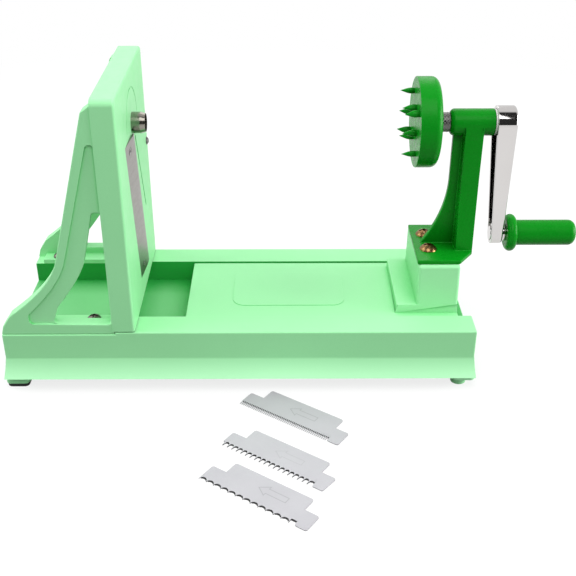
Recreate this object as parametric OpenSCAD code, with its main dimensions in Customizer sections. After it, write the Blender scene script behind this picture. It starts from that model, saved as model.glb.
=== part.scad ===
// Hand-cranked vegetable spiral cutter.
// The origin is on the table, under the middle of the base. +X points at the crank,
// +Y away from the user's side, +Z up. The crank turns about the line y = 0.

/* [Base] */
// Length of the base at rail height
base_l = 300; // [270:1:340]
// Width of the base at rail height
base_w = 115; // [105:1:135]
// Height of the base moulding without its feet
base_h = 33.5; // [30:0.5:45]
// Height of the feet
foot_h = 8; // [7:0.5:14]
// Width of each rail
rail_w = 19.6; // [17:0.2:23]
// Depth of the channel between the rails
channel_depth = 15; // [12:0.5:17]
// Wall of the base moulding
base_wall = 3; // [2:0.1:4]
// Height of the flared skirt
skirt_h = 14.8; // [10:0.2:20]
// How far the skirt flares out
skirt_flare = 2.5; // [1:0.1:4]
// Drop of the seat that the tower stands on
seat_drop = 1.4; // [0.5:0.1:2.5]
// Thickness of the ribs under the base
under_rib_t = 2; // [1.2:0.1:3]

/* [Feet] */
// Side of the square rubber pads
pad_side = 14; // [10:0.5:18]
// Thickness of the rubber pads
pad_h = 2.8; // [2:0.1:4]
// Corner radius of the rubber pads
pad_r = 3; // [1:0.1:4]
// Margin of the boss round a rubber pad
boss_margin = 0.5; // [0.3:0.1:2]
// Set-back of the feet from the front and the back of the skirt
foot_inset = 3; // [1:0.1:6]
// Diameter of the round pegs
peg_d = 10.6; // [8:0.2:14]
// How much a peg narrows towards the table
peg_taper = 0.8; // [0:0.1:1.5]
// Height of the ledge above a peg
ledge_h = 3; // [2:0.1:4]
// Side of the square ledge above a peg
ledge_side = 15; // [13:0.5:20]

/* [Tower] */
// Distance of the cutting face from the left end of the base
tower_set = 84; // [78:1:95]
// Height of the tower above the rails
tower_h = 151; // [146:1:165]
// Depth of the tower's plate along the base
plate_t = 14; // [10:0.5:18]
// Skin of the plate at the cutting face
skin_t = 4; // [3:0.2:5]
// Corner radius at the top of the plate
plate_r = 4; // [2:0.5:8]
// Height of the crank's axis above the rails
axis_h = 118; // [112:1:122]
// Ribs on the back of the plate
plate_rib_t = 3; // [2:0.1:4]
// Gap between the rails and the plate
plate_gap = 0.4; // [0.2:0.1:0.8]
// Web of the side frames
web_t = 4; // [3:0.2:6]
// Depth of the rim round the side frames
rim_depth = 8; // [6:0.5:12]
// Width of the plate's own rim
rim_w = 6; // [4:0.2:8]
// Depth of the recess inside the rim
recess_depth = 1.2; // [0.6:0.1:2]
// Set-back of the side frames from the plate's edge
frame_inset = 0.6; // [0.3:0.1:1.5]
// Thickness of the flange that is screwed to the rail
flange_t = 3; // [2:0.1:4]

/* [Cutter] */
// Lean of the cutting edge, in degrees
lean = 11.3; // [6:0.1:13]
// Width of the straight blade
blade_w = 27; // [24:0.5:29]
// How far the cutting edge lies on the user's side of the crank's axis
edge_back = 7.4; // [7:0.1:9]
// Thickness of the straight blade
blade_t = 1.5; // [1:0.1:2]
// How far the blade's cutting edge side stands out further than its back edge
blade_rise = 2; // [1.8:0.1:3]
// Foot of the blade above the rails
blade_foot = 15; // [12:0.5:24]
// Top of the blade below the crank's axis
blade_top_drop = 4.5; // [3:0.1:8]
// Width of the ground bevels on the blade
bevel_w = 5; // [3:0.1:6]
// Width of the throat that the slices pass
throat_w = 8; // [6:0.2:9]
// Lean of the slot for a comb blade, in degrees
slot_lean = 20.4; // [15:0.2:24]
// Width of the slot for a comb blade
slot_w = 2; // [1.5:0.1:3]
// Length of the slot for a comb blade
slot_l = 62; // [50:0.5:68]
// Distance of the slot's upper end from the crank's axis, sideways
slot_side = 6.4; // [5.5:0.1:10]
// Outer diameter of the coring tube
tube_d = 13.2; // [11:0.1:15]
// Bore of the coring tube
tube_bore = 11.2; // [9:0.1:12]
// How far the tube stands out of the face
tube_out = 8.5; // [6:0.5:12]
// Diameter of the faint ring mark round the tube
ring_mark_d = 44; // [36:1:46]

/* [Comb blades] */
// Length of a comb blade
comb_l = 73.5; // [70:0.5:84]
// Length of its raised middle
comb_mid_l = 54; // [50:0.5:60]
// Height of a comb blade over its teeth
comb_h = 22.5; // [18:0.5:24]
// Height of the end tabs over the teeth
comb_tab_h = 13; // [10:0.2:15]
// Thickness of a comb blade
comb_t = 0.6; // [0.4:0.1:1]
// Length of the teeth
tooth_l = 3.4; // [3:0.1:5]
// Length of the plain tab past the teeth
plain_tab = 8; // [7:0.2:12]
// Corner radius of the comb blades
comb_r = 1.5; // [0.5:0.1:2]
// Pitch of the fine teeth
fine_pitch = 1.3; // [1.1:0.1:2]
// Pitch of the medium teeth
medium_pitch = 3.35; // [2.6:0.05:4.5]
// Pitch of the coarse teeth
coarse_pitch = 5.15; // [4.6:0.05:7]

/* [Carriage] */
// Length of the sliding plate
slide_l = 177.4; // [165:0.2:185]
// Set-back of the sliding plate from the right end of the base
slide_end = 8.7; // [6:0.1:14]
// Side clearance of the sliding plate in the channel
slide_gap = 0.4; // [0.2:0.1:0.8]
// How far the sliding plate lies below the rails
slide_drop = 1; // [0.6:0.1:2]
// Wall of the carriage moulding
slide_wall = 3; // [2:0.1:4]
// Length of the step at the foot of the block
step_l = 12.9; // [8:0.1:20]
// Height of the step above the sliding plate
step_h = 6; // [4:0.2:9]
// Width of the step and of the block's foot
block_w = 65; // [58:0.5:70]
// Length of the block along the base
block_l = 27; // [24:0.5:32]
// Height of the block above the rails
block_h = 32.2; // [28:0.2:40]
// How much each long side of the block leans in
block_draft = 2.6; // [1:0.1:4]
// Length of the raised panel on the sliding plate
panel_l = 74; // [60:1:90]
// Width of the raised panel on the sliding plate
panel_w = 45; // [35:1:55]
// Height of the raised panel
panel_h = 0.4; // [0.2:0.1:0.8]

/* [Crank bracket] */
// Thickness of the bracket's flange
bracket_t = 2.8; // [2:0.1:4]
// Thickness of the bracket's post
post_t = 11; // [9:0.2:14]
// How far the post stands out past the block
post_out = 9.7; // [7:0.1:11]
// Width of the post at its foot
post_foot_w = 28; // [22:0.5:32]
// Thickness of the bracket's rib
rib_t = 4; // [3:0.2:6]
// Reach of the rib at the hub
rib_top = 6; // [4:0.2:8]
// Radius of the rib's hollow curve
rib_r = 76; // [70:1:90]
// Diameter of the hub
hub_d = 16.8; // [15:0.2:20]
// Length of the hub
hub_l = 27.6; // [24:0.2:32]
// Overhang of the hub past the post, on the crank's side
hub_out = 7.8; // [5:0.2:10]
// Rounding of the hub's inner end
hub_r = 3; // [1:0.2:4]

/* [Crank] */
// Diameter of the crank's shaft
shaft_d = 8; // [6:0.1:9]
// Running clearance of shafts in their bores
run_gap = 0.05; // [0.02:0.01:0.1]
// Thickness of the thrust washer
washer_t = 1; // [0.8:0.1:2]
// Diameter of the knurled nut
nut_d = 12.4; // [11:0.1:15]
// Length of the knurled nut
nut_l = 7.6; // [6:0.1:10]
// Number of ridges on the knurled nut
nut_ridges = 24; // [12:1:36]
// Diameter of the spiked wheel
wheel_d = 56; // [50:0.5:64]
// Thickness of the spiked wheel
wheel_t = 13.7; // [12:0.1:18]
// Rounding of the wheel's back edge
wheel_r = 4; // [2:0.2:5]
// Length of a spike
spike_l = 9; // [7:0.2:11]
// Diameter of a spike at its root
spike_d = 6; // [4:0.1:7]
// Radius of the outer ring of spikes
spike_outer = 20; // [18:0.5:22]
// Radius of the inner ring of spikes
spike_inner = 11; // [9.5:0.5:12]
// Distance between the crank's axis and the grip's axis
crank_r = 76.5; // [70:0.1:90]
// Width of the arm at the shaft
arm_head_w = 20.6; // [18:0.2:24]
// Width of the arm at the grip
arm_foot_w = 14.4; // [13.6:0.2:18]
// Depth of the arm at the shaft
arm_head_t = 12; // [10:0.2:14]
// Depth of the arm at the grip
arm_foot_t = 7.5; // [6.5:0.1:9]
// Sheet of the arm's channel
arm_wall = 2; // [1.5:0.1:2.6]

/* [Grip] */
// Length of the grip with its flange
grip_l = 46.2; // [40:0.2:60]
// Diameter of the grip
grip_d = 16.8; // [15:0.2:22]
// Diameter of the grip's flange
grip_flange_d = 24.6; // [22:0.2:30]
// Thickness of the grip's flange
grip_flange_t = 7.4; // [5:0.2:9]
// Rounding of the grip's outer end
grip_r = 4.5; // [3:0.1:5]
// Diameter of the grip's axle
axle_d = 7; // [5:0.1:8]
// Diameter of the axle's collar and heads
axle_collar_d = 11; // [9.5:0.1:11.4]
// Length of the axle's collar
axle_collar_l = 2.2; // [1.5:0.1:3]
// Diameter of the cap in the grip's end
cap_d = 12.4; // [11.8:0.1:12.8]

/* [Screws] */
// Diameter of the large pan heads
big_head_d = 8.8; // [7.5:0.1:10]
// Diameter of the small pan heads
small_head_d = 7.2; // [6:0.1:8]
// Diameter of the large screws
big_screw_d = 3.9; // [3:0.1:4.5]
// Diameter of the small screws
small_screw_d = 3.2; // [2.5:0.1:4]
// Length of the large screws
big_screw_l = 14; // [10:0.5:18]
// Length of the small screws
small_screw_l = 9; // [7:0.5:12]

/* [Hidden] */

// Cuts run past the faces that they open by this much
over = 1;
// Clearance of a screw in the piece that it holds
screw_gap = 0.3;
// Clearance of a screw in its pilot hole, and of pieces that are fixed in a seat
seat_gap = 0.05;
// Free running gap between flat faces that pass each other
face_gap = 0.3;
// Segments of plain round forms
$fn = 48;

mint = "#a6e8b0";
deep_green = "#1f9a2e";
steel = "#b9bdc2";
chrome = "#d8dade";

// Base levels and edges
x_left = -base_l / 2;
x_right = base_l / 2;
z_rail = foot_h + base_h;
z_seat = z_rail - seat_drop;
z_floor = z_rail - channel_depth;
z_skirt = foot_h + skirt_h;
channel_w = base_w - 2 * rail_w;
half_w = base_w / 2;
half_channel = channel_w / 2;
rail_y = (half_w + half_channel) / 2;
tower_screw_y = (half_channel + face_gap + half_w - frame_inset - rim_depth) / 2;

// Tower and cutter places
face_x = x_left + tower_set;
plate_x = face_x - plate_t;
z_axis = z_rail + axis_h;
z_top = z_rail + tower_h;
z_plate = z_rail + plate_gap;
z_blade_foot = z_rail + blade_foot;
z_blade_top = z_axis - blade_top_drop;
// The side frame's outlines: shares of its length behind the plate and of the tower's height
frame_top_share = 0.98;
frame_head_share = [0.923, 0.9536];
frame_curve_share = [[0.569, 0.333], [0.507, 0.219], [0.094, 0.0775]];
frame_heel_share = [0.0214, 0.0278];
field_top_share = [0.936, 0.828];
field_curve_share = [[0.646, 0.335], [0.586, 0.2285], [0.263, 0.085]];
window_top_share = [0.923, 0.543];
window_curve_share = [[0.82, 0.335], [0.771, 0.255], [0.53, 0.115]];
window_foot_share = 0.479;
field_foot_share = 0.2629;
frame_bar_share = 0.039;
frame_curve_steps = 10;
corner_steps = 4;
field_r = 3;
window_r = 2;
reach_share = 0.45;
// Screws of the tower's flanges, along the flange
tower_screw_share = [0.24, 0.805];
boss_r = 4;
face_head_d = 5.6;
// Places of the blade's screws from its back edge and its ends
blade_screw_in = 11.4;
blade_screw_end = 6.5;
blade_screw_x = blade_rise * blade_screw_in / blade_w;
// The blade's cutting edge before the face, and the end of its seat across the plate
edge_drop = 0.5;
edge_t = 0.2;
edge_x = blade_rise - edge_drop;
seat_end = blade_w * (blade_t / blade_rise - 1);
tube_boss_wall = 3.4;
sunk_h = (face_head_d - small_screw_d) / 2;
ring_mark_w = 0.8;
ring_mark_depth = 0.3;
// Height of the slot's upper end over the rails, as a share of the axis height
slot_top_share = 0.903;
slot_screw_y_share = 0.91;
slot_screw_z_share = 0.5715;

// Carriage places
slide_x1 = x_right - slide_end;
slide_x0 = slide_x1 - slide_l;
z_slide = z_rail - slide_drop;
slide_half_w = half_channel - slide_gap;
block_x0 = slide_x1 - block_l;
step_x0 = block_x0 - step_l;
z_step = z_slide + step_h;
z_block = z_rail + block_h;
block_top_w = block_w - 2 * block_draft;
panel_share = 0.379;
panel_r = 8;
under_cells = 9;
slide_cells = 6;
block_rib_t = 3;

// Bracket places
bracket_x0 = block_x0 - slide_drop / 2;
z_bracket = z_block + bracket_t;
post_x1 = slide_x1 + post_out;
post_x0 = post_x1 - post_t;
hub_x1 = post_x1 + hub_out;
hub_x0 = hub_x1 - hub_l;
bracket_screw_x = bracket_x0 + big_head_d;
bracket_screw_share = 0.165;
bracket_screw_y = block_w * bracket_screw_share;
bracket_screw_d = big_screw_d;

// Crank places
nut_x1 = hub_x0 - face_gap;
nut_x0 = nut_x1 - nut_l;
wheel_x1 = nut_x0;
wheel_x0 = wheel_x1 - wheel_t;
arm_x0 = hub_x1 + washer_t + run_gap;
arm_x1 = arm_x0 + arm_head_t;
shaft_x0 = wheel_x0 + wheel_t / 3;
shaft_x1 = arm_x1 - arm_wall;
z_grip = z_axis - crank_r;
arm_foot_x0 = arm_x1 - arm_foot_t;
shaft_bore_r = shaft_d / 2 + run_gap;
axle_x1 = arm_x1 + axle_collar_l;
grip_x0 = axle_x1 + face_gap / 2;
grip_x1 = grip_x0 + grip_l;
axle_bore_r = axle_d / 2 + run_gap;
cap_depth = grip_r;
head_room = 0.8;
axle_head_t = 2;
rivet_t = 1.2;
rivet_share = 0.82;
arm_seat_drop = 0.8;
counterbore_r = cap_d / 2 - head_room / 2;
cap_x0 = grip_x1 - cap_depth;
axle_end = cap_x0 - head_room;
arm_screw_l = 10;

// The comb blades lie side by side in front of the base
comb_turn = -35;
comb_place_share = [[0.12, 0.2435], [0.087, 0.5955], [0.052, 0.861]];

// A point of the leaning cutter: u across the plate from the cutting edge, z the height
function lean_pt(u, z) = [u - edge_back + (z_axis - z) * tan(lean), z];
// Extrudes a section given in x before the face and u, from height z0 up to z1 along the lean
module along_lean(z0, z1) {
    rake = tan(lean);
    intersection() {
        multmatrix([[1, 0, 0, face_x], [0, 1, -rake, z_axis * rake - edge_back], [0, 0, 1, 0]])
            linear_extrude(z_top) children();
        block_between([x_left, -base_w, z0], [x_right, base_w, z1]);
    }
}
// Four corners of a leaning strip between u0 and u1, from z0 up to z1
function lean_strip(u0, u1, z0, z1) =
    [lean_pt(u0, z0), lean_pt(u1, z0), lean_pt(u1, z1), lean_pt(u0, z1)];
// A point of the frame's outline from its shares
function frame_pt(share) = [x_left + share[0] * (tower_set - plate_t), z_rail + share[1] * tower_h];
// A hollow curve of a side frame, quadratic, from three points given as shares
function frame_curve(share) =
    [for (i = [0:frame_curve_steps])
        let (t = i / frame_curve_steps,
             from = frame_pt(share[0]), by = frame_pt(share[1]), to = frame_pt(share[2]))
            (1 - t) * (1 - t) * from + 2 * t * (1 - t) * by + t * t * to];
// An outline with an arc of the given radius at each corner
function unit(v) = v / norm(v);
function rounded(pts, radius) =
    [for (i = [0:len(pts) - 1])
        each corner_arc(pts[(i + len(pts) - 1) % len(pts)], pts[i], pts[(i + 1) % len(pts)], radius)];
function corner_arc(before, corner, after, radius) =
    let (u = unit(before - corner), w = unit(after - corner), half = acos(u * w) / 2,
         reach = min(radius / tan(half), reach_share * min(norm(before - corner), norm(after - corner))),
         r = reach * tan(half), centre = corner + unit(u + w) * r / sin(half))
        [for (i = [0:corner_steps])
            let (t = i / corner_steps)
                centre + r * unit(corner + reach * ((1 - t) * u + t * w) - centre)];

// Extrudes a y-z outline along +X from x0
module along_x(x0, length) {
    translate([x0, 0, 0])
        rotate([90, 0, 90])
            linear_extrude(length) children();
}
// Extrudes an x-z outline along +Y from y0
module along_y(y0, length) {
    translate([0, y0 + length, 0])
        rotate([90, 0, 0])
            linear_extrude(length) children();
}
// A round rod along +X from x0 at height z
module rod_x(x0, length, radius, z) {
    translate([x0, 0, z])
        rotate([0, 90, 0])
            cylinder(h = length, r = radius);
}
// A block between two corners
module block_between(low, high) {
    translate(low) cube(high - low);
}
// A flat outline with round corners, centred
module round_rect(length, width, radius) {
    square([length - 2 * radius, width], center = true);
    square([length, width - 2 * radius], center = true);
    for (sx = [-1, 1], sy = [-1, 1])
        translate([sx * (length / 2 - radius), sy * (width / 2 - radius)]) circle(radius);
}
// A pan-head cross-recess screw: the head's seat at z = 0, the shank down
module pan_screw(head_d, shank_d, shank_l) {
    head_h = head_d * screw_head_share;
    crown_r = (head_d * head_d / 4 + head_h * head_h) / (2 * head_h);
    slot = [head_d * cross_length_share, head_d * cross_width_share, head_h];
    difference() {
        union() {
            intersection() {
                translate([0, 0, head_h - crown_r]) sphere(crown_r);
                cylinder(h = head_h, r = head_d / 2);
            }
            translate([0, 0, -shank_l]) cylinder(h = shank_l + head_h / 2, r = shank_d / 2);
        }
        for (turn = [0, 90])
            rotate([0, 0, turn])
                translate([-slot[0] / 2, -slot[1] / 2, head_h * cross_depth_share]) cube(slot);
    }
}
screw_head_share = 0.3;
cross_length_share = 0.56;
cross_width_share = 0.14;
cross_depth_share = 0.45;

// Places of the tower's screws and of the bosses under them
module at_tower_screws() {
    for (share = tower_screw_share, side = [-1, 1])
        translate([x_left + share * (tower_set - plate_t), side * tower_screw_y, 0]) children();
}
// Places of the bracket's screws
module at_bracket_screws() {
    for (side = [-1, 1])
        translate([bracket_screw_x, side * bracket_screw_y, 0]) children();
}

// Outer form of the base: an upright band over a skirt that flares on all four sides
module base_form() {
    intersection() {
        along_y(-half_w - skirt_flare, base_w + 2 * skirt_flare)
            polygon([[x_left - skirt_flare, foot_h], [x_right + skirt_flare, foot_h],
                     [x_right, z_skirt], [x_right, z_rail], [x_left, z_rail], [x_left, z_skirt]]);
        along_x(x_left - skirt_flare, base_l + 2 * skirt_flare)
            polygon([[-half_w - skirt_flare, foot_h], [half_w + skirt_flare, foot_h],
                     [half_w, z_skirt], [half_w, z_rail], [-half_w, z_rail], [-half_w, z_skirt]]);
    }
}
// Open cells under the base, between its ribs
module base_cells() {
    cell_l = (base_l - 2 * base_wall - (under_cells - 1) * under_rib_t) / under_cells;
    mid_w = (channel_w - 2 * under_rib_t) / 3;
    for (i = [0:under_cells - 1]) {
        x0 = x_left + base_wall + i * (cell_l + under_rib_t);
        for (side = [-1, 1])
            translate([x0, side * rail_y - (rail_w - 2 * base_wall) / 2, foot_h - over])
                cube([cell_l, rail_w - 2 * base_wall, z_seat - base_wall - foot_h + over]);
        for (j = [-1:1])
            translate([x0, j * (mid_w + under_rib_t) - mid_w / 2, foot_h - over])
                cube([cell_l, mid_w, z_floor - base_wall - foot_h + over]);
    }
}
// Bosses of the rubber pads at the left end, ledges and pegs at the right end
module base_feet() {
    boss_side = pad_side + 2 * boss_margin;
    for (side = [-1, 1]) {
        translate([pad_x, side * pad_y, pad_h])
            linear_extrude(foot_h - pad_h + base_wall) round_rect(boss_side, boss_side, pad_r);
        translate([ledge_x, side * ledge_y, foot_h - ledge_h])
            linear_extrude(ledge_h + base_wall) round_rect(ledge_side, ledge_side, pad_r);
        translate([peg_x, side * ledge_y, 0])
            cylinder(h = foot_h - ledge_h / 2, d1 = peg_d - peg_taper, d2 = peg_d);
    }
}
pad_x = x_left - skirt_flare + boss_margin + pad_side / 2;
pad_y = half_w + skirt_flare - foot_inset - pad_side / 2;
ledge_x = x_right + skirt_flare - boss_margin - ledge_side / 2;
ledge_y = half_w + skirt_flare - foot_inset / 2 - ledge_side / 2;
peg_x = ledge_x - ledge_side / 2 + peg_d / 2;

module base_tray() {
    color(mint)
        difference() {
            union() {
                difference() {
                    base_form();
                    base_cells();
                }
                at_tower_screws()
                    translate([0, 0, foot_h]) cylinder(h = z_seat - foot_h, r = boss_r);
                base_feet();
            }
            block_between([x_left - skirt_flare - over, -half_channel, z_floor],
                          [x_right + skirt_flare + over, half_channel, z_rail + over]);
            for (side = [-1, 1])
                block_between([x_left - over, side * rail_y - rail_w / 2 - over, z_seat],
                              [plate_x + over + face_gap, side * rail_y + rail_w / 2 + over, z_rail + over]);
            at_tower_screws()
                translate([0, 0, z_seat - small_screw_l])
                    cylinder(h = small_screw_l + over, d = small_screw_d + 2 * seat_gap);
        }
}

module rubber_pads() {
    color("#202020")
        for (side = [-1, 1])
            translate([pad_x, side * pad_y, 0])
                linear_extrude(pad_h) round_rect(pad_side, pad_side, pad_r);
}

// Outline of a side frame in x and z: a raking strut that sweeps out into a long toe
module frame_outline() {
    top_z = z_rail + frame_top_share * tower_h;
    polygon(concat([[plate_x + over, z_seat], [plate_x + over, top_z], [plate_x, top_z],
                    frame_pt(frame_head_share)], frame_curve(frame_curve_share),
                   [frame_pt(frame_heel_share), [x_left, z_seat]]));
}
// The recessed field inside the rim: behind the plate's edge and above the bottom bar
module frame_field() {
    top = frame_pt(field_top_share);
    polygon(rounded(concat([[plate_x, frame_pt([1, frame_bar_share])[1]], [plate_x, top[1]], top],
                           frame_curve(field_curve_share),
                           [frame_pt([field_foot_share, frame_bar_share])]), field_r));
}
// The open window in the field
module frame_window() {
    top = frame_pt(window_top_share);
    polygon(rounded(concat([[plate_x, frame_pt([1, frame_bar_share])[1]], [plate_x, top[1]], top],
                           frame_curve(window_curve_share),
                           [frame_pt([window_foot_share, frame_bar_share])]), window_r));
}
// One side frame, on the user's side
module side_frame() {
    y0 = -half_w + frame_inset;
    difference() {
        union() {
            along_y(y0, web_t) frame_outline();
            along_y(y0, rim_depth)
                difference() {
                    frame_outline();
                    frame_field();
                }
        }
        along_y(y0 - over, over + recess_depth) frame_field();
        along_y(y0 - over, rim_depth + 2 * over) frame_window();
    }
    // Flange on the rail, which the screws hold
    block_between([x_left + rim_w, y0, z_seat],
                  [plate_x + over, -half_channel - face_gap, z_seat + flange_t]);
}
// Front outline of the plate in y and z
module plate_outline() {
    translate([0, z_plate + (z_top - z_plate) / 2]) round_rect(base_w, z_top - z_plate, plate_r);
    translate([-half_w, z_plate]) square([base_w, plate_r]);
}
// Hollows on the back of the plate, between its ribs
module plate_cells() {
    depth = plate_t - skin_t;
    side_w = (base_w / 2 - outlet_half) - plate_rib_t - rim_w;
    cell_h = (z_top - z_plate - 2 * rim_w - (side_cells - 1) * plate_rib_t) / side_cells;
    boss_half = tube_d / 2 + tube_boss_wall;
    // The wide outlet behind the throat
    block_between([plate_x - over, -outlet_half, z_blade_foot - rim_w],
                  [plate_x + depth, outlet_half, z_axis - boss_half - plate_rib_t]);
    // Cells at the far sides, beside the tube and above it
    for (side = [-1, 1])
        for (i = [0:side_cells - 1])
            translate([plate_x - over, side * (outlet_half + plate_rib_t + side_w / 2) - side_w / 2,
                       z_plate + rim_w + i * (cell_h + plate_rib_t)])
                cube([depth + over, side_w, cell_h]);
    inner_w = outlet_half - boss_half - plate_rib_t;
    for (side = [-1, 1])
        translate([plate_x - over, side * (outlet_half - inner_w / 2) - inner_w / 2, z_axis - boss_half])
            cube([depth + over, inner_w, 2 * boss_half]);
    upper_w = outlet_half - plate_rib_t / 2;
    z_upper = z_axis + boss_half + plate_rib_t;
    for (side = [-1, 1])
        translate([plate_x - over, side * (outlet_half - upper_w / 2) - upper_w / 2, z_upper])
            cube([depth + over, upper_w, z_top - rim_w - z_upper]);
}
outlet_half = 34;
side_cells = 4;
z_throat_top = z_axis - tube_d / 2 - tube_boss_wall;

// Holes of the blade's screws: places in y and z
function blade_screw_pts() =
    [lean_pt(-blade_w + blade_screw_in, z_blade_foot + blade_screw_end),
     lean_pt(-blade_w + blade_screw_in, z_blade_top - blade_screw_end)];

module tower_frame() {
    color(mint)
        difference() {
            union() {
                difference() {
                    along_x(plate_x, plate_t) plate_outline();
                    plate_cells();
                }
                rod_x(plate_x, plate_t, tube_d / 2 + tube_boss_wall, z_axis);
                for (p = blade_screw_pts())
                    translate([plate_x, p[0], p[1]])
                        rotate([0, 90, 0]) cylinder(h = plate_t - skin_t / 2, r = boss_r);
                side_frame();
                mirror([0, 1, 0]) side_frame();
            }
            // Throat, comb slot, blade seat
            along_x(plate_x - over, plate_t + 2 * over)
                polygon(lean_strip(seat_end, throat_w, z_blade_foot, z_throat_top));
            along_x(plate_x - over, plate_t + 2 * over)
                translate([slot_side, z_slot_top])
                    rotate(slot_lean)
                        translate([0, -slot_l]) square([slot_w, slot_l]);
            along_lean(z_blade_foot, z_blade_top + seat_gap)
                polygon([[-blade_t - seat_gap, -blade_w - seat_gap], [over, -blade_w - seat_gap],
                         [over, seat_end + over], [seat_gap, seat_end + over]]);
            rod_x(plate_x - over, plate_t + 2 * over, tube_d / 2 + seat_gap, z_axis);
            for (p = blade_screw_pts())
                translate([face_x - small_screw_l, p[0], p[1]])
                    rotate([0, 90, 0]) cylinder(h = small_screw_l + over, d = small_screw_d + 2 * seat_gap);
            // Faint ring mark round the tube, above the blade
            translate([face_x - ring_mark_depth, 0, z_axis])
                rotate([0, 90, 0])
                    difference() {
                        cylinder(h = ring_mark_depth + over, d = ring_mark_d);
                        translate([0, 0, -over])
                            cylinder(h = ring_mark_depth + 3 * over, d = ring_mark_d - 2 * ring_mark_w);
                        translate([0, -ring_mark_d, -over])
                            cube([ring_mark_d, 2 * ring_mark_d, ring_mark_depth + 3 * over]);
                    }
            translate([face_x - small_screw_l / 2, slot_screw_y, slot_screw_z])
                rotate([0, 90, 0]) cylinder(h = small_screw_l, d = small_screw_d + 2 * seat_gap);
            at_tower_screws()
                translate([0, 0, z_seat - over])
                    cylinder(h = flange_t + 2 * over, d = small_screw_d + 2 * screw_gap);
        }
}
z_slot_top = z_rail + axis_h * slot_top_share;
slot_screw_y = half_w * slot_screw_y_share;
slot_screw_z = z_rail + tower_h * slot_screw_z_share;

module tower_screws() {
    color("#8d8f92")
        at_tower_screws()
            translate([0, 0, z_seat + flange_t]) pan_screw(small_head_d, small_screw_d, small_screw_l);
}

// Ground steel plate: flush at its back edge, and standing out at its cutting edge
module straight_blade() {
    bevel_x = blade_rise * (1 - bevel_w / blade_w);
    color(steel)
        difference() {
            along_lean(z_blade_foot + seat_gap, z_blade_top)
                polygon([[-blade_t, -blade_w], [0, -blade_w], [bevel_x, -bevel_w], [edge_x, 0],
                         [edge_x - edge_t, 0], [bevel_x - blade_t, -bevel_w]]);
            for (p = blade_screw_pts())
                translate([face_x + blade_screw_x, p[0], p[1]])
                    rotate([0, 90, 0]) {
                        translate([0, 0, -blade_t - over])
                            cylinder(h = 2 * (blade_t + over), d = small_screw_d + 2 * screw_gap);
                        translate([0, 0, -sunk_h])
                            cylinder(h = sunk_h, d1 = small_screw_d + 2 * seat_gap,
                                     d2 = face_head_d + 2 * seat_gap);
                        cylinder(h = blade_rise, d = face_head_d + 2 * seat_gap);
                    }
        }
}

// Countersunk screws, flush with the blade
module blade_screws() {
    cross_l = face_head_d * cross_length_share;
    cross_w = face_head_d * cross_width_share;
    color("#8d8f92")
        for (p = blade_screw_pts())
            translate([face_x + blade_screw_x, p[0], p[1]])
                rotate([0, 90, 0])
                    difference() {
                        union() {
                            translate([0, 0, -sunk_h])
                                cylinder(h = sunk_h, d1 = small_screw_d, d2 = face_head_d);
                            translate([0, 0, -small_screw_l])
                                cylinder(h = small_screw_l - sunk_h / 2, d = small_screw_d);
                        }
                        for (turn = [0, 90])
                            rotate([0, 0, turn])
                                translate([-cross_l / 2, -cross_w / 2, -sunk_h * cross_length_share])
                                    cube([cross_l, cross_w, blade_t]);
                    }
}

module coring_tube() {
    color(steel)
        difference() {
            rod_x(plate_x, plate_t + tube_out, tube_d / 2, z_axis);
            rod_x(plate_x - over, plate_t + tube_out + 2 * over, tube_bore / 2, z_axis);
        }
}

module slot_screw() {
    color("#55595c")
        translate([face_x, slot_screw_y, slot_screw_z])
            rotate([0, 90, 0]) pan_screw(face_head_d, small_screw_d, small_screw_l / 2 - seat_gap);
}

// Outline of a comb blade without its teeth: long tabs below, a raised middle above
module comb_outline() {
    tabs_h = comb_tab_h - tooth_l;
    translate([0, tooth_l + tabs_h / 2]) round_rect(comb_l, tabs_h, comb_r);
    translate([0, (comb_h + tooth_l) / 2]) round_rect(comb_mid_l, comb_h - tooth_l, comb_r);
    translate([comb_l / 2 - plain_tab / 2, comb_tab_h / 2]) round_rect(plain_tab, comb_tab_h, comb_r);
    translate([-comb_l / 2, tooth_l]) square([comb_l - comb_r, comb_r]);
}
// Pointed teeth in a row from the left end to the plain tab
module pointed_teeth(pitch, point_share) {
    row_l = comb_l - plain_tab;
    count = floor(row_l / pitch);
    for (i = [0:count - 1])
        translate([-comb_l / 2 + i * pitch, 0])
            polygon([[0, tooth_l + comb_r / 2], [pitch * tooth_gap_share, tooth_l],
                     [pitch * (0.5 - point_share / 2), 0], [pitch * (0.5 + point_share / 2), 0],
                     [pitch * (1 - tooth_gap_share), tooth_l], [pitch, tooth_l + comb_r / 2]]);
}
tooth_gap_share = 0.14;
fine_point_share = 0.5;
medium_point_share = 0.1;
// Lays comb blade number i on the table
module on_table(i) {
    translate([comb_place_share[i][0] * base_l, -half_w - skirt_flare - comb_place_share[i][1] * base_w, 0])
        rotate([0, 0, comb_turn])
            linear_extrude(comb_t)
                translate([0, -comb_h / 2]) children();
}
module fine_comb_blade() {
    color(steel)
        on_table(0) {
            comb_outline();
            pointed_teeth(fine_pitch, fine_point_share);
        }
}
module medium_comb_blade() {
    color(steel)
        on_table(1) {
            comb_outline();
            pointed_teeth(medium_pitch, medium_point_share);
        }
}
// The coarse blade has round scallops with sharp points between them
module coarse_comb_blade() {
    row_l = comb_l - plain_tab;
    count = floor(row_l / coarse_pitch);
    color(steel)
        on_table(2)
            difference() {
                union() {
                    comb_outline();
                    translate([-comb_l / 2, 0]) square([count * coarse_pitch, tooth_l + comb_r]);
                }
                for (i = [0:count - 1])
                    translate([-comb_l / 2 + (i + 0.5) * coarse_pitch, 0])
                        circle(coarse_pitch * scallop_share);
            }
}
scallop_share = 0.49;

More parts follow.
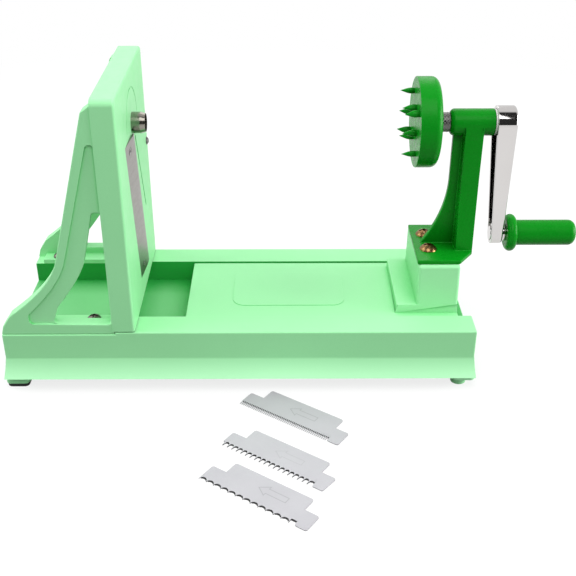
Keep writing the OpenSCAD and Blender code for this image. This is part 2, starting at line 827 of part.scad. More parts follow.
// Sliding plate, step and hollow block in one moulding
module carriage() {
    z_under = z_floor + slide_gap / 2;
    cell_l = (slide_l - 2 * slide_wall - (slide_cells - 1) * under_rib_t) / slide_cells;
    cell_w = (2 * slide_half_w - 2 * slide_wall - 2 * under_rib_t) / 3;
    half_top = block_top_w / 2;
    hollow_w = half_top - slide_wall - block_rib_t / 2;
    color(mint)
        difference() {
            union() {
                difference() {
                    union() {
                        block_between([slide_x0, -slide_half_w, z_under],
                                      [slide_x1, slide_half_w, z_slide]);
                        block_between([step_x0, -block_w / 2, z_slide - over],
                                      [slide_x1, block_w / 2, z_step]);
                        along_x(block_x0, block_l)
                            polygon([[-block_w / 2, z_step - over], [block_w / 2, z_step - over],
                                     [half_top, z_block], [-half_top, z_block]]);
                        translate([slide_x0 + slide_l * panel_share, 0, z_slide - over])
                            linear_extrude(over + panel_h) round_rect(panel_l, panel_w, panel_r);
                    }
                    for (i = [0:slide_cells - 1], j = [-1:1])
                        translate([slide_x0 + slide_wall + i * (cell_l + under_rib_t),
                                   j * (cell_w + under_rib_t) - cell_w / 2, z_under - over])
                            cube([cell_l, cell_w, z_slide - slide_wall - z_under + over]);
                    // Two deep hollows inside the block
                    for (side = [-1, 1])
                        translate([block_x0 + slide_wall, side * half_top / 2 - hollow_w / 2, z_under - over])
                            cube([block_l - 2 * slide_wall, hollow_w, z_block - slide_wall - z_under + over]);
                }
                at_bracket_screws()
                    translate([0, 0, z_slide]) cylinder(h = z_block - z_slide, r = boss_r);
            }
            at_bracket_screws()
                translate([0, 0, z_block - big_screw_l])
                    cylinder(h = big_screw_l + over, d = bracket_screw_d + 2 * seat_gap);
        }
}

// Flange, post, rib and hub in one moulding
module crank_bracket() {
    half_flange = block_top_w / 2;
    color(deep_green)
        difference() {
            union() {
                translate([0, 0, z_block])
                    linear_extrude(bracket_t)
                        polygon([[bracket_x0, -half_flange], [slide_x1, -half_flange],
                                 [post_x1, -post_foot_w / 2], [post_x1, post_foot_w / 2],
                                 [slide_x1, half_flange], [bracket_x0, half_flange]]);
                along_x(post_x0, post_t)
                    polygon([[-post_foot_w / 2, z_block + bracket_t / 2],
                             [post_foot_w / 2, z_block + bracket_t / 2],
                             [hub_d / 2, z_axis], [-hub_d / 2, z_axis]]);
                bracket_rib();
                bracket_hub();
            }
            rod_x(hub_x0 - over, hub_l + 2 * over, shaft_bore_r, z_axis);
            at_bracket_screws()
                translate([0, 0, z_block - over])
                    cylinder(h = bracket_t + 2 * over, d = bracket_screw_d + 2 * screw_gap);
        }
}
// Rib with a hollow curve, from the hub down to the flange
module bracket_rib() {
    rib_x = post_x0 - rib_top;
    z_bend = z_block + (z_axis - z_block) * rib_bend_share;
    along_y(-rib_t / 2, rib_t)
        difference() {
            polygon([[bracket_x0 + over, z_block + bracket_t / 2], [post_x1 - over, z_block + bracket_t / 2],
                     [post_x1 - over, z_axis], [rib_x, z_axis], [rib_x, z_bend],
                     [rib_x - rib_r, z_bend]]);
            translate([rib_x - rib_r, z_bend]) circle(rib_r, $fn = 120);
            translate([bracket_x0 - 2 * rib_r, z_bracket]) square([2 * rib_r, rib_r]);
        }
}
rib_bend_share = 0.57;
// Hub with a rounded inner end
module bracket_hub() {
    translate([hub_x0, 0, z_axis])
        rotate([0, 90, 0])
            rotate_extrude($fn = 64)
                union() {
                    square([hub_d / 2 - hub_r, hub_l]);
                    translate([0, hub_r]) square([hub_d / 2, hub_l - hub_r]);
                    translate([hub_d / 2 - hub_r, hub_r]) circle(hub_r);
                }
}

module bracket_screws() {
    color("#b08a3c")
        at_bracket_screws()
            translate([0, 0, z_bracket])
                pan_screw(big_head_d, bracket_screw_d, big_screw_l + bracket_t - over);
}

module crank_shaft() {
    color(steel)
        difference() {
            rod_x(shaft_x0, shaft_x1 - shaft_x0, shaft_d / 2, z_axis);
            rod_x(shaft_x1 - arm_screw_l, arm_screw_l + over, small_screw_d / 2 + seat_gap, z_axis);
        }
}

// Nut with straight knurls, which locks the wheel on the shaft
module knurled_nut() {
    ridge = PI * nut_d / nut_ridges / 2;
    color("#77797c")
        difference() {
            rod_x(nut_x0, nut_l, nut_d / 2, z_axis);
            for (i = [0:nut_ridges - 1])
                translate([nut_x0 - over, 0, z_axis])
                    rotate([i * 360 / nut_ridges, 0, 0])
                        translate([0, -ridge / 2, nut_d / 2 - ridge / 2])
                            cube([nut_l + 2 * over, ridge, ridge]);
            rod_x(nut_x0 - over, nut_l + 2 * over, shaft_d / 2 + seat_gap, z_axis);
        }
}

// A spike: a round leaf that swells and runs out to a point, along -X
module spike() {
    rotate([0, -90, 0])
        rotate_extrude($fn = 24)
            polygon(concat([[0, -over], [spike_d / 2, -over]],
                           [for (p = spike_form_share) [p[0] * spike_d / 2, p[1] * spike_l]]));
}
spike_form_share = [[1, 0], [0.98, 0.15], [0.88, 0.35], [0.68, 0.58], [0.4, 0.8], [0, 1]];
spike_turn = [56, 17];
module spiked_wheel() {
    color(deep_green)
        difference() {
            union() {
                translate([wheel_x0, 0, z_axis])
                    rotate([0, 90, 0])
                        rotate_extrude($fn = 96)
                            union() {
                                square([wheel_d / 2 - wheel_r, wheel_t]);
                                square([wheel_d / 2, wheel_t - wheel_r]);
                                translate([wheel_d / 2 - wheel_r, wheel_t - wheel_r]) circle(wheel_r);
                            }
                for (i = [0:3]) {
                    spike_at(spike_outer, spike_turn[0] + i * 90);
                    spike_at(spike_inner, spike_turn[1] + i * 90);
                }
            }
            rod_x(shaft_x0, wheel_t, shaft_d / 2 + seat_gap, z_axis);
        }
}
module spike_at(radius, turn) {
    translate([wheel_x0, radius * cos(turn), z_axis + radius * sin(turn)]) spike();
}

module thrust_washer() {
    color("#f2f2ee")
        difference() {
            rod_x(hub_x1 + run_gap, washer_t, hub_d / 2 - face_gap, z_axis);
            rod_x(hub_x1 - over, washer_t + 2 * over, shaft_bore_r, z_axis);
        }
}

// Outline of the arm in y and z: round ends, and sides that draw together
module arm_outline(inset) {
    head = arm_head_w / 2 - inset;
    foot = arm_foot_w / 2 - inset;
    lean_in = asin((head - foot) / crank_r);
    translate([0, z_axis]) circle(head);
    translate([0, z_grip]) circle(foot);
    z_head = z_axis - head * sin(lean_in);
    z_foot = z_grip - foot * sin(lean_in);
    polygon([[head * cos(lean_in), z_head], [-head * cos(lean_in), z_head],
             [-foot * cos(lean_in), z_foot], [foot * cos(lean_in), z_foot]]);
}
// Plated channel that is open towards the base, with a boss at each end
module crank_arm() {
    color(chrome)
        difference() {
            union() {
                difference() {
                    intersection() {
                        along_x(arm_x0, arm_head_t) arm_outline(0);
                        along_y(-arm_head_w, 2 * arm_head_w) arm_side();
                    }
                    along_x(arm_x0 - over, arm_head_t + over - arm_wall) arm_outline(arm_wall);
                }
                rod_x(arm_x0, arm_head_t - arm_wall / 2, shaft_d / 2 + arm_wall, z_axis);
                rod_x(arm_foot_x0 + arm_seat_drop, arm_foot_t - arm_seat_drop - arm_wall / 2,
                      arm_foot_w / 2 - arm_wall / 2, z_grip);
            }
            rod_x(arm_x0 - over, shaft_x1 - arm_x0 + over + seat_gap, shaft_d / 2 + seat_gap, z_axis);
            rod_x(arm_x0, arm_head_t + over, small_screw_d / 2 + screw_gap, z_axis);
            rod_x(arm_foot_x0 - over, arm_foot_t + 2 * over, axle_d / 2 + seat_gap, z_grip);
        }
}
// Side view of the arm: the open edge leans out towards the grip
module arm_side() {
    polygon([[arm_x0, z_axis + arm_head_w], [arm_x1, z_axis + arm_head_w], [arm_x1, z_grip - arm_foot_w],
             [arm_foot_x0, z_grip - arm_foot_w], [arm_foot_x0, z_grip], [arm_x0, z_axis - shaft_d]]);
}

module crank_screw() {
    color("#8d8f92")
        translate([arm_x1, 0, z_axis])
            rotate([0, 90, 0]) pan_screw(small_head_d, small_screw_d, arm_wall + arm_screw_l - over);
}

// Shouldered rivet: riveted over in the arm, with a collar and a head inside the grip
module grip_axle() {
    color(chrome) {
        rod_x(arm_foot_x0 + arm_seat_drop - rivet_t, axle_end - arm_foot_x0 - arm_seat_drop + rivet_t,
              axle_d / 2, z_grip);
        rod_x(arm_foot_x0 + arm_seat_drop - rivet_t, rivet_t, axle_collar_d / 2 * rivet_share, z_grip);
        rod_x(arm_x1, axle_collar_l, axle_collar_d / 2, z_grip);
        rod_x(axle_end - axle_head_t, axle_head_t, counterbore_r - head_room, z_grip);
    }
}

// Turning grip with a bulging flange at the arm and a counterbore at its end
module handle_grip() {
    swell = grip_flange_t / 2;
    color(deep_green)
        difference() {
            translate([grip_x0, 0, z_grip])
                rotate([0, 90, 0])
                    rotate_extrude($fn = 64)
                        union() {
                            square([grip_flange_d / 2 - swell, grip_flange_t]);
                            translate([grip_flange_d / 2 - swell, swell]) circle(swell);
                            square([grip_d / 2, grip_l - grip_r]);
                            intersection() {
                                square([grip_d, grip_l]);
                                union() {
                                    square([grip_d / 2 - grip_r, grip_l]);
                                    translate([grip_d / 2 - grip_r, grip_l - grip_r]) circle(grip_r);
                                }
                            }
                        }
            rod_x(grip_x0 - over, grip_l + 2 * over, axle_bore_r, z_grip);
            rod_x(axle_end - axle_head_t - face_gap, grip_l, counterbore_r, z_grip);
            rod_x(cap_x0, grip_l, cap_d / 2, z_grip);
        }
}

// Round cap that closes the grip's end
module grip_cap() {
    color(deep_green)
        intersection() {
            rod_x(cap_x0, cap_depth, cap_d / 2 - seat_gap, z_grip);
            translate([grip_x1 - grip_r, 0, z_grip]) rod_dome();
        }
}
// Dome that continues the grip's rounded end
module rod_dome() {
    rotate([0, 90, 0])
        rotate_extrude($fn = 64)
            intersection() {
                union() {
                    square([grip_d / 2 - grip_r, grip_r]);
                    translate([grip_d / 2 - grip_r, 0]) circle(grip_r);
                }
                square([grip_d, grip_r]);
            }
}

base_tray();
rubber_pads();
tower_frame();
tower_screws();
straight_blade();
blade_screws();
coring_tube();
slot_screw();
fine_comb_blade();
medium_comb_blade();
coarse_comb_blade();
carriage();
crank_bracket();
bracket_screws();
crank_shaft();
knurled_nut();
spiked_wheel();
thrust_washer();
crank_arm();
crank_screw();
grip_axle();
handle_grip();
grip_cap();
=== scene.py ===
import math

import bmesh
import bpy
from mathutils import Matrix, Vector


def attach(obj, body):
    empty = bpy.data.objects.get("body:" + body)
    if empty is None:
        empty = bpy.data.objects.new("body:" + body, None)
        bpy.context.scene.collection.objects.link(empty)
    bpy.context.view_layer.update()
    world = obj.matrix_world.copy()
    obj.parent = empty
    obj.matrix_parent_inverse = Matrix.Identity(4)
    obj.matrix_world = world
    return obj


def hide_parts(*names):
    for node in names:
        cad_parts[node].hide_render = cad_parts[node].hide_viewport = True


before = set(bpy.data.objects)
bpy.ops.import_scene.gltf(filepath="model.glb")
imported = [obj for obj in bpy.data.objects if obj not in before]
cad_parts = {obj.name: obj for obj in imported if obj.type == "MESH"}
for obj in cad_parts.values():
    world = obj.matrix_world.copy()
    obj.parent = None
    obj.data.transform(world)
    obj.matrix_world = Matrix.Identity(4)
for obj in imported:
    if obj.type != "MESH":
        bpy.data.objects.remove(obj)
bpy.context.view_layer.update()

# The studio: a pale floor under a soft ceiling of light, with soft boxes low at the
# crank's side, high at the left and behind. Behind the machine hangs a white backdrop;
# the room behind the camera is dark but for one soft box, which the bright metal shows.
MM = 0.001
EYE = Vector((26.37, -556.93, 358.50)) * MM
LENS = 58.588
SENSOR = 36.0
PITCH, YAW, ROLL = (math.radians(a) for a in (29.69, 0.46, 0.08))

ahead = Vector((math.sin(YAW) * math.cos(PITCH), math.cos(YAW) * math.cos(PITCH),
                -math.sin(PITCH)))
level = Vector((math.cos(YAW), -math.sin(YAW), 0))
upright = level.cross(ahead)
side = level * math.cos(ROLL) + upright * math.sin(ROLL)
top = upright * math.cos(ROLL) - level * math.sin(ROLL)
camera = bpy.data.objects.new("camera", bpy.data.cameras.new("camera"))
camera.data.lens = LENS
camera.data.sensor_width = SENSOR
camera.matrix_world = Matrix.Translation(EYE) @ Matrix((side, top, -ahead)).transposed().to_4x4()
bpy.context.scene.collection.objects.link(camera)
bpy.context.scene.camera = camera
bpy.context.scene.view_settings.view_transform = "Standard"


def put(tree, kind, sockets=None, **settings):
    """Adds a shader node, then sets or links the sockets given by name or number."""
    node = tree.nodes.new("ShaderNode" + kind)
    for key, value in settings.items():
        setattr(node, key, value)
    for key, value in (sockets or {}).items():
        if isinstance(value, bpy.types.NodeSocket):
            tree.links.new(value, node.inputs[key])
        else:
            node.inputs[key].default_value = value
    return node


def seen_directly(tree):
    """One where the camera, a mirror or clear plastic looks at this, else nothing."""
    path = put(tree, "LightPath").outputs
    both = put(tree, "Math", {0: path["Is Camera Ray"], 1: path["Is Glossy Ray"]},
               operation="MAXIMUM")
    return put(tree, "Math", {0: both.outputs[0], 1: path["Is Transmission Ray"]},
               operation="MAXIMUM").outputs[0]


def soft_lamp(name, place, aim, width, watts):
    """A square soft box that faces a point."""
    lamp = bpy.data.objects.new(name, bpy.data.lights.new(name, "AREA"))
    lamp.data.shape = "SQUARE"
    lamp.data.size = width
    lamp.data.energy = watts
    turn = (Vector(aim) - Vector(place)).to_track_quat("-Z", "Y")
    lamp.matrix_world = Matrix.Translation(place) @ turn.to_matrix().to_4x4()
    bpy.context.scene.collection.objects.link(lamp)


WALL_LIGHT, CEILING_LIGHT = 0.14, 1.0
WALL_TOP = (0.25, 0.72)
SKY_WAY = (0.0, -0.34, 0.94)
ROOM_DARK, BACKDROP, BACKDROP_EDGE = 0.03, 0.9, 0.1
BOX_WAY, BOX_REACH = (-0.1, -0.62, 0.78), (0.955, 0.965)
MACHINE, SLIDING_PLATE = (0.0, 0.0, 0.05), (0.05, -0.03, 0.03)
soft_lamp("lamp_right", (1.3, -0.1, 0.25), MACHINE, 0.8, 17.0)
soft_lamp("lamp_left", (-1.0, 0.0, 0.8), MACHINE, 0.9, 8.0)
soft_lamp("lamp_back", (0.0, 1.1, 0.9), MACHINE, 0.9, 3.2)
soft_lamp("lamp_front", (0.1, -0.35, 0.68), SLIDING_PLATE, 0.4, 1.3)
world = bpy.data.worlds.new("surround")
bpy.context.scene.world = world
world.use_nodes = True
air = world.node_tree
way = put(air, "TexCoord").outputs["Generated"]
ways = put(air, "SeparateXYZ", {0: way}).outputs
sky = put(air, "VectorMath", {0: way, 1: SKY_WAY}, operation="DOT_PRODUCT").outputs["Value"]
walls = put(air, "MapRange", {"Value": sky, "From Min": WALL_TOP[0], "From Max": WALL_TOP[1],
                              "To Min": WALL_LIGHT, "To Max": CEILING_LIGHT}).outputs["Result"]
behind = put(air, "MapRange", {"Value": ways["Y"], "From Min": -BACKDROP_EDGE,
                               "From Max": BACKDROP_EDGE, "To Min": ROOM_DARK,
                               "To Max": BACKDROP}).outputs["Result"]
near_box = put(air, "VectorMath", {0: way, 1: BOX_WAY}, operation="DOT_PRODUCT").outputs["Value"]
box = put(air, "MapRange", {"Value": near_box, "From Min": BOX_REACH[0], "From Max": BOX_REACH[1]})
mirrored = put(air, "Math", {0: behind, 1: box.outputs["Result"]}, operation="MAXIMUM").outputs[0]
path = put(air, "LightPath").outputs
lit = put(air, "MapRange", {"Value": path["Is Glossy Ray"], "To Min": walls,
                            "To Max": mirrored}).outputs["Result"]
direct = put(air, "Math", {0: path["Is Camera Ray"], 1: path["Is Transmission Ray"]},
             operation="MAXIMUM")
strength = put(air, "MapRange", {"Value": direct.outputs[0], "To Min": lit, "To Max": 1.0})
air.nodes["Background"].inputs["Color"].default_value = (1.0, 1.0, 1.0, 1.0)
air.links.new(strength.outputs["Result"], air.nodes["Background"].inputs["Strength"])

FLOOR_HALF = 3.0
FLOOR_Z = -0.00005
FLOOR_SHARE = 0.2
FLOOR_BOUNCE = 0.12
FLOOR_NEAR, FLOOR_FAR = 0.32, 0.75
floor_bm = bmesh.new()
bmesh.ops.create_grid(floor_bm, x_segments=1, y_segments=1, size=FLOOR_HALF)
bmesh.ops.translate(floor_bm, verts=floor_bm.verts, vec=(0, 0, FLOOR_Z))
floor = bpy.data.objects.new("floor", bpy.data.meshes.new("floor"))
floor_bm.to_mesh(floor.data)
floor_bm.free()
bpy.context.scene.collection.objects.link(floor)
paper = bpy.data.materials.new("floor_paper")
paper.use_nodes = True
sheet = paper.node_tree
sheet.nodes.remove(sheet.nodes["Principled BSDF"])
away = put(sheet, "VectorMath", {0: put(sheet, "TexCoord").outputs["Object"]}, operation="LENGTH")
share = put(sheet, "MapRange", {"Value": away.outputs["Value"], "From Min": FLOOR_NEAR,
                                "From Max": FLOOR_FAR, "To Min": FLOOR_SHARE,
                                "To Max": 0.0}).outputs["Result"]
seen = seen_directly(sheet)
shown = put(sheet, "MapRange", {"Value": seen, "To Min": FLOOR_BOUNCE,
                                "To Max": share}).outputs["Result"]
matt = put(sheet, "BsdfDiffuse", {"Color": shown})
rest = put(sheet, "Math", {0: 1.0, 1: share}, operation="SUBTRACT")
lift = put(sheet, "Math", {0: seen, 1: rest.outputs[0]}, operation="MULTIPLY")
glow = put(sheet, "Emission", {"Strength": lift.outputs[0]})
both = put(sheet, "AddShader", {0: matt.outputs[0], 1: glow.outputs[0]})
sheet.links.new(both.outputs[0], sheet.nodes["Material Output"].inputs["Surface"])
floor.data.materials.append(paper)

# Base tray: one moulding in mint plastic with two rails, a channel between them, a
# skirt that bows outwards and ribs below. The mould leaves its outer edges softly rounded,
# and in the narrow channel a deeper green is painted on: painted shade, darkest as a painted shadow
# near the parts that stand in it.
MERGE = 0.004 * MM
FLAT, SHARP = math.radians(0.3), math.radians(24)
ALIKE = math.cos(math.radians(40))
HOLLOW_SHADE_REACH = 0.03
SEAM_SHADE_REACH, SEAM_SHADE_SHARE = 0.0025, 0.25
EDGE_HIGHLIGHT_REACH = 0.0007
WELL_SHADOW_REACH = 0.022
WELL_FLOOR_SHADE_SHARE = 0.45


def spread(tree, value, low, high, to_low, to_high):
    """Maps a range of a value on another one, and holds it at the ends."""
    return put(tree, "MapRange", {"Value": value, "From Min": low, "From Max": high,
                                  "To Min": to_low, "To Max": to_high}).outputs["Result"]


def shade_mix(tree, share, first, second):
    """Mixes two colours, given as sockets or as plain red, green and blue."""
    first, second = (c if isinstance(c, bpy.types.NodeSocket) else (*c, 1.0)
                     for c in (first, second))
    return put(tree, "Mix", {0: share, 6: first, 7: second}, data_type="RGBA").outputs[2]


def surface(name, **sockets):
    """A new material with its principled shader; the sockets are set by name."""
    made = bpy.data.materials.new(name)
    made.use_nodes = True
    skin = made.node_tree.nodes["Principled BSDF"]
    for key, value in sockets.items():
        skin.inputs[key.replace("_", " ")].default_value = value
    return made, made.node_tree, skin


def moulded_plastic(name, shade, fleck_and_highlight, deep, hollow_shade, rough_low, rough_high, grain, gloss,
                    well=None):
    """Injection-moulded plastic: broad flow clouds, fine flecks, sink marks, a painted highlight
    that makes its edges paler, painted shade in its hollows and darker painted shade in its seams
    and gaps. A well is a channel's half width, its top and the painted shade that deepens in it."""
    made, tree, skin = surface(name, Specular_IOR_Level=gloss)
    place = put(tree, "TexCoord").outputs["Object"]
    clouds = put(tree, "TexNoise", {"Vector": place, "Scale": 16.0, "Detail": 3.0}).outputs["Fac"]
    flecks = put(tree, "TexNoise", {"Vector": place, "Scale": 1300.0, "Detail": 2.0}).outputs["Fac"]
    scuffs = put(tree, "TexNoise", {"Vector": place, "Scale": 220.0, "Detail": 6.0}).outputs["Fac"]
    body = shade_mix(tree, spread(tree, clouds, 0.35, 0.65, 0.0, 0.5), shade, deep)
    body = shade_mix(tree, spread(tree, flecks, 0.4, 0.8, 0.0, 0.16), body, fleck_and_highlight)
    # Painted highlight: along rounded edges the colour goes towards the pale one.
    rounded_normal = put(tree, "Bevel", {"Radius": EDGE_HIGHLIGHT_REACH}, samples=4).outputs["Normal"]
    flat = put(tree, "NewGeometry").outputs["Normal"]
    alike = put(tree, "VectorMath", {0: rounded_normal, 1: flat}, operation="DOT_PRODUCT").outputs["Value"]
    body = shade_mix(tree, spread(tree, alike, 0.9, 0.995, 0.5, 0.0), body, fleck_and_highlight)
    # Painted shade: where the piece's own faces close round a point, the colour goes towards the
    # richer hollow green.
    inner = put(tree, "AmbientOcclusion", {"Distance": HOLLOW_SHADE_REACH}, only_local=True,
                samples=8).outputs["AO"]
    body = shade_mix(tree, spread(tree, inner, 0.25, 0.8, 1.0, 0.0), body, hollow_shade)
    # Painted shade in the well: its upright walls take the deep green, its floor a share of it.
    if well:
        half_w, well_top, well_shade = well
        spot = put(tree, "SeparateXYZ", {0: place}).outputs
        aside = put(tree, "Math", {0: spot["Y"]}, operation="ABSOLUTE").outputs[0]
        within = spread(tree, aside, (half_w + 0.1) * MM, (half_w + 0.2) * MM, 1.0, 0.0)
        below = spread(tree, spot["Z"], (well_top - 0.1) * MM, well_top * MM, 1.0, 0.0)
        sides = put(tree, "SeparateXYZ", {0: flat}).outputs["Y"]
        upright = put(tree, "Math", {0: sides}, operation="ABSOLUTE").outputs[0]
        # Painted shadow: near other parts, such as the sliding plate's edge, the well's floor
        # darkens fully.
        near = put(tree, "AmbientOcclusion", {"Distance": WELL_SHADOW_REACH}, samples=8).outputs["AO"]
        shadow_share = spread(tree, near, 0.5, 1.0, 1.0, WELL_FLOOR_SHADE_SHARE)
        well_shade_share = put(tree, "Math", {0: upright, 1: shadow_share}, operation="MAXIMUM").outputs[0]
        inside = put(tree, "Math", {0: within, 1: below}, operation="MULTIPLY").outputs[0]
        well_shade_share = put(tree, "Math", {0: inside, 1: well_shade_share}, operation="MULTIPLY").outputs[0]
        body = shade_mix(tree, well_shade_share, body, well_shade)
    # Painted shade in seams and gaps: close to any other face, also of other parts, the colour goes
    # dark.
    seam_shade = put(tree, "AmbientOcclusion", {"Distance": SEAM_SHADE_REACH}, samples=8).outputs["AO"]
    body = shade_mix(tree, spread(tree, seam_shade, 0.12, 0.42, 1.0, 0.0), body,
                     tuple(c * SEAM_SHADE_SHARE for c in hollow_shade))
    tree.links.new(body, skin.inputs["Base Color"])
    tree.links.new(spread(tree, scuffs, 0.35, 0.7, rough_low, rough_high),
                   skin.inputs["Roughness"])
    sink = put(tree, "Bump", {"Strength": 0.18, "Distance": 0.0012, "Height": clouds})
    fine = put(tree, "Bump", {"Strength": grain, "Distance": 0.00006, "Height": flecks,
                              "Normal": sink.outputs["Normal"]})
    tree.links.new(fine.outputs["Normal"], skin.inputs["Normal"])
    return made


def face_reach(face, edge):
    """How far a face runs from one of its edges."""
    along = (edge.verts[1].co - edge.verts[0].co).normalized()
    inward = face.normal.cross(along)
    reaches = [(v.co - edge.verts[0].co).dot(inward) for v in face.verts]
    return max(max(reaches), -min(reaches))


def ease_edges(bm, width, segments, chosen=None, room=2.2):
    """Rounds the sharp edges that are chosen and have room for it."""
    edges = []
    for e in bm.edges:
        if len(e.link_faces) != 2 or e.calc_face_angle(0.0) < SHARP:
            continue
        if chosen is not None and not chosen((e.verts[0].co + e.verts[1].co) / 2 / MM, e):
            continue
        if min(face_reach(f, e) for f in e.link_faces) > room * width:
            edges.append(e)
    if edges:
        bmesh.ops.bevel(bm, geom=edges, offset=width, offset_type="OFFSET", segments=segments,
                        profile=0.5, affect="EDGES", clamp_overlap=False, material=-1)


def cut_across(bm, axis, place):
    """Adds a row of edges where a plane crosses the whole piece."""
    normal = Vector((0, 0, 0))
    normal[axis] = 1.0
    bmesh.ops.bisect_plane(bm, geom=bm.verts[:] + bm.edges[:] + bm.faces[:], dist=0.0001 * MM,
                           plane_co=normal * place * MM, plane_no=normal)


def solid_copy(node):
    """A CAD node's form as one skin with whole flats."""
    bm = bmesh.new()
    bm.from_mesh(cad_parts[node].data)
    bmesh.ops.remove_doubles(bm, verts=bm.verts, dist=MERGE)
    bmesh.ops.dissolve_limit(bm, angle_limit=FLAT, use_dissolve_boundaries=False,
                             verts=bm.verts, edges=bm.edges)
    return bm


def finished(name, bm, body, material, replaced=()):
    """Makes a piece of a mesh and lets it ride on its body. At each corner the faces that
    lie nearly alike are shaded as one, the larger the stronger, so that flats stay flat."""
    bm.normal_update()
    area = {face: face.calc_area() for face in bm.faces}
    shading = []
    for face in bm.faces:
        for corner in face.loops:
            total = Vector((0, 0, 0))
            for other in corner.vert.link_faces:
                if other.normal.dot(face.normal) > ALIKE:
                    total += other.normal * area[other]
            shading.append(total.normalized())
    mesh = bpy.data.meshes.new(name)
    bm.to_mesh(mesh)
    bm.free()
    mesh.shade_smooth()
    mesh.normals_split_custom_set(shading)
    mesh.materials.append(material)
    piece = bpy.data.objects.new(name, mesh)
    bpy.context.scene.collection.objects.link(piece)
    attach(piece, body)
    if replaced:
        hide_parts(*replaced)
    return piece


MINT = (0.355, 0.84, 0.415)
# The pale colour serves both for real flecks and for the painted edge highlight.
MINT_FLECK_AND_HIGHLIGHT = (0.45, 0.93, 0.52)
MINT_DEEP = (0.335, 0.81, 0.395)
MINT_HOLLOW_SHADE = (0.10, 0.62, 0.16)
MINT_SATIN = {"rough_low": 0.36, "rough_high": 0.5, "grain": 0.25, "gloss": 0.12}
WELL_HALF_W, WELL_TOP, WELL_SHADE_GREEN = 38.0, 41.4, (0.025, 0.36, 0.06)
mint_plastic = moulded_plastic("mint_plastic", MINT, MINT_FLECK_AND_HIGHLIGHT, MINT_DEEP, MINT_HOLLOW_SHADE,
                               **MINT_SATIN)
tray_plastic = moulded_plastic("mint_plastic_of_the_tray", MINT, MINT_FLECK_AND_HIGHLIGHT, MINT_DEEP, MINT_HOLLOW_SHADE,
                               well=(WELL_HALF_W, WELL_TOP, WELL_SHADE_GREEN), **MINT_SATIN)
HALF_W, HALF_L = 57.5, 150.0
SKIRT_TOP, SKIRT_FOOT, CAD_FLARE = 22.8, 8.0, 2.5
SKIRT_ROWS = (20.6, 18.2, 15.8, 13.4, 11.0)
FLARE_FRONT, FLARE_END, KICK, LIP_Z = 5.6, 1.5, 0.6, 9.9
SKIRT_PAINTED_HIGHLIGHT, HIGHLIGHT_FULL_Z = (0.5, 1.0, 0.57), 10.5

# Its front skirt leans back under the lights, and a painted highlight makes it paler towards the
# foot.
tree = tray_plastic.node_tree
base_colour = tree.nodes["Principled BSDF"].inputs["Base Color"]
place = put(tree, "SeparateXYZ", {0: put(tree, "TexCoord").outputs["Object"]}).outputs
in_front = spread(tree, place["Y"], -(HALF_W + 0.1) * MM, -(HALF_W + 0.3) * MM, 0.0, 1.0)
low_down = spread(tree, place["Z"], SKIRT_TOP * MM, HIGHLIGHT_FULL_Z * MM, 0.25, 1.0)
skirt_highlight_share = put(tree, "Math", {0: in_front, 1: low_down}, operation="MULTIPLY").outputs[0]
bare = base_colour.links[0].from_socket
tree.links.new(shade_mix(tree, skirt_highlight_share, bare, SKIRT_PAINTED_HIGHLIGHT), base_colour)

# The skirt's outer skin is cut into rows, and each row is set out on the bow.
tray = solid_copy("base_tray")
for height in SKIRT_ROWS:
    cut_across(tray, 2, height)
for v in tray.verts:
    at = v.co / MM
    drop = (SKIRT_TOP - at.z) / (SKIRT_TOP - SKIRT_FOOT)
    if not 0 < drop < 1.01:
        continue
    bow = KICK * drop + (1 - KICK) * drop * drop
    side_flare = FLARE_FRONT if at.y < 0 else CAD_FLARE
    for axis, half, flare in ((1, HALF_W, side_flare), (0, HALF_L, FLARE_END)):
        if abs(abs(at[axis]) - half - CAD_FLARE * drop) < 0.05:
            v.co[axis] = math.copysign(half + flare * bow, at[axis]) * MM
            v.co.z = (SKIRT_TOP - drop * (SKIRT_TOP - LIP_Z)) * MM
ABOVE_SKIRT = 24.0
ease_edges(tray, 0.9 * MM, 3, lambda at, e: at.z > ABOVE_SKIRT
           and (abs(at.y) > HALF_W - 0.5 or abs(at.x) > HALF_L - 1.0))
ease_edges(tray, 0.5 * MM, 2, lambda at, e: at.z < ABOVE_SKIRT and abs(at.x) > HALF_L - 0.5
           and abs(e.verts[0].co.z - e.verts[1].co.z) > MM)
finished("base_moulding", tray, "base", tray_plastic, ["base_tray"])

# Rubber pads: two square black pads pressed over bosses under the left end. They are
# moulded rubber with rounded corners and a dull skin that holds dust.
made, tree, skin = surface("pad_rubber", Roughness=0.8)
place = put(tree, "TexCoord").outputs["Object"]
dust = put(tree, "TexNoise", {"Vector": place, "Scale": 700.0, "Detail": 5.0}).outputs["Fac"]
RUBBER, DUSTY_RUBBER = (0.008, 0.008, 0.008), (0.03, 0.03, 0.03)
tree.links.new(shade_mix(tree, spread(tree, dust, 0.45, 0.75, 0.0, 1.0), RUBBER, DUSTY_RUBBER),
               skin.inputs["Base Color"])
grit = put(tree, "Bump", {"Strength": 0.4, "Distance": 0.0001, "Height": dust})
tree.links.new(grit.outputs["Normal"], skin.inputs["Normal"])
pads = solid_copy("rubber_pads")
ease_edges(pads, 0.5 * MM, 3)
finished("pads", pads, "base", made, ["rubber_pads"])

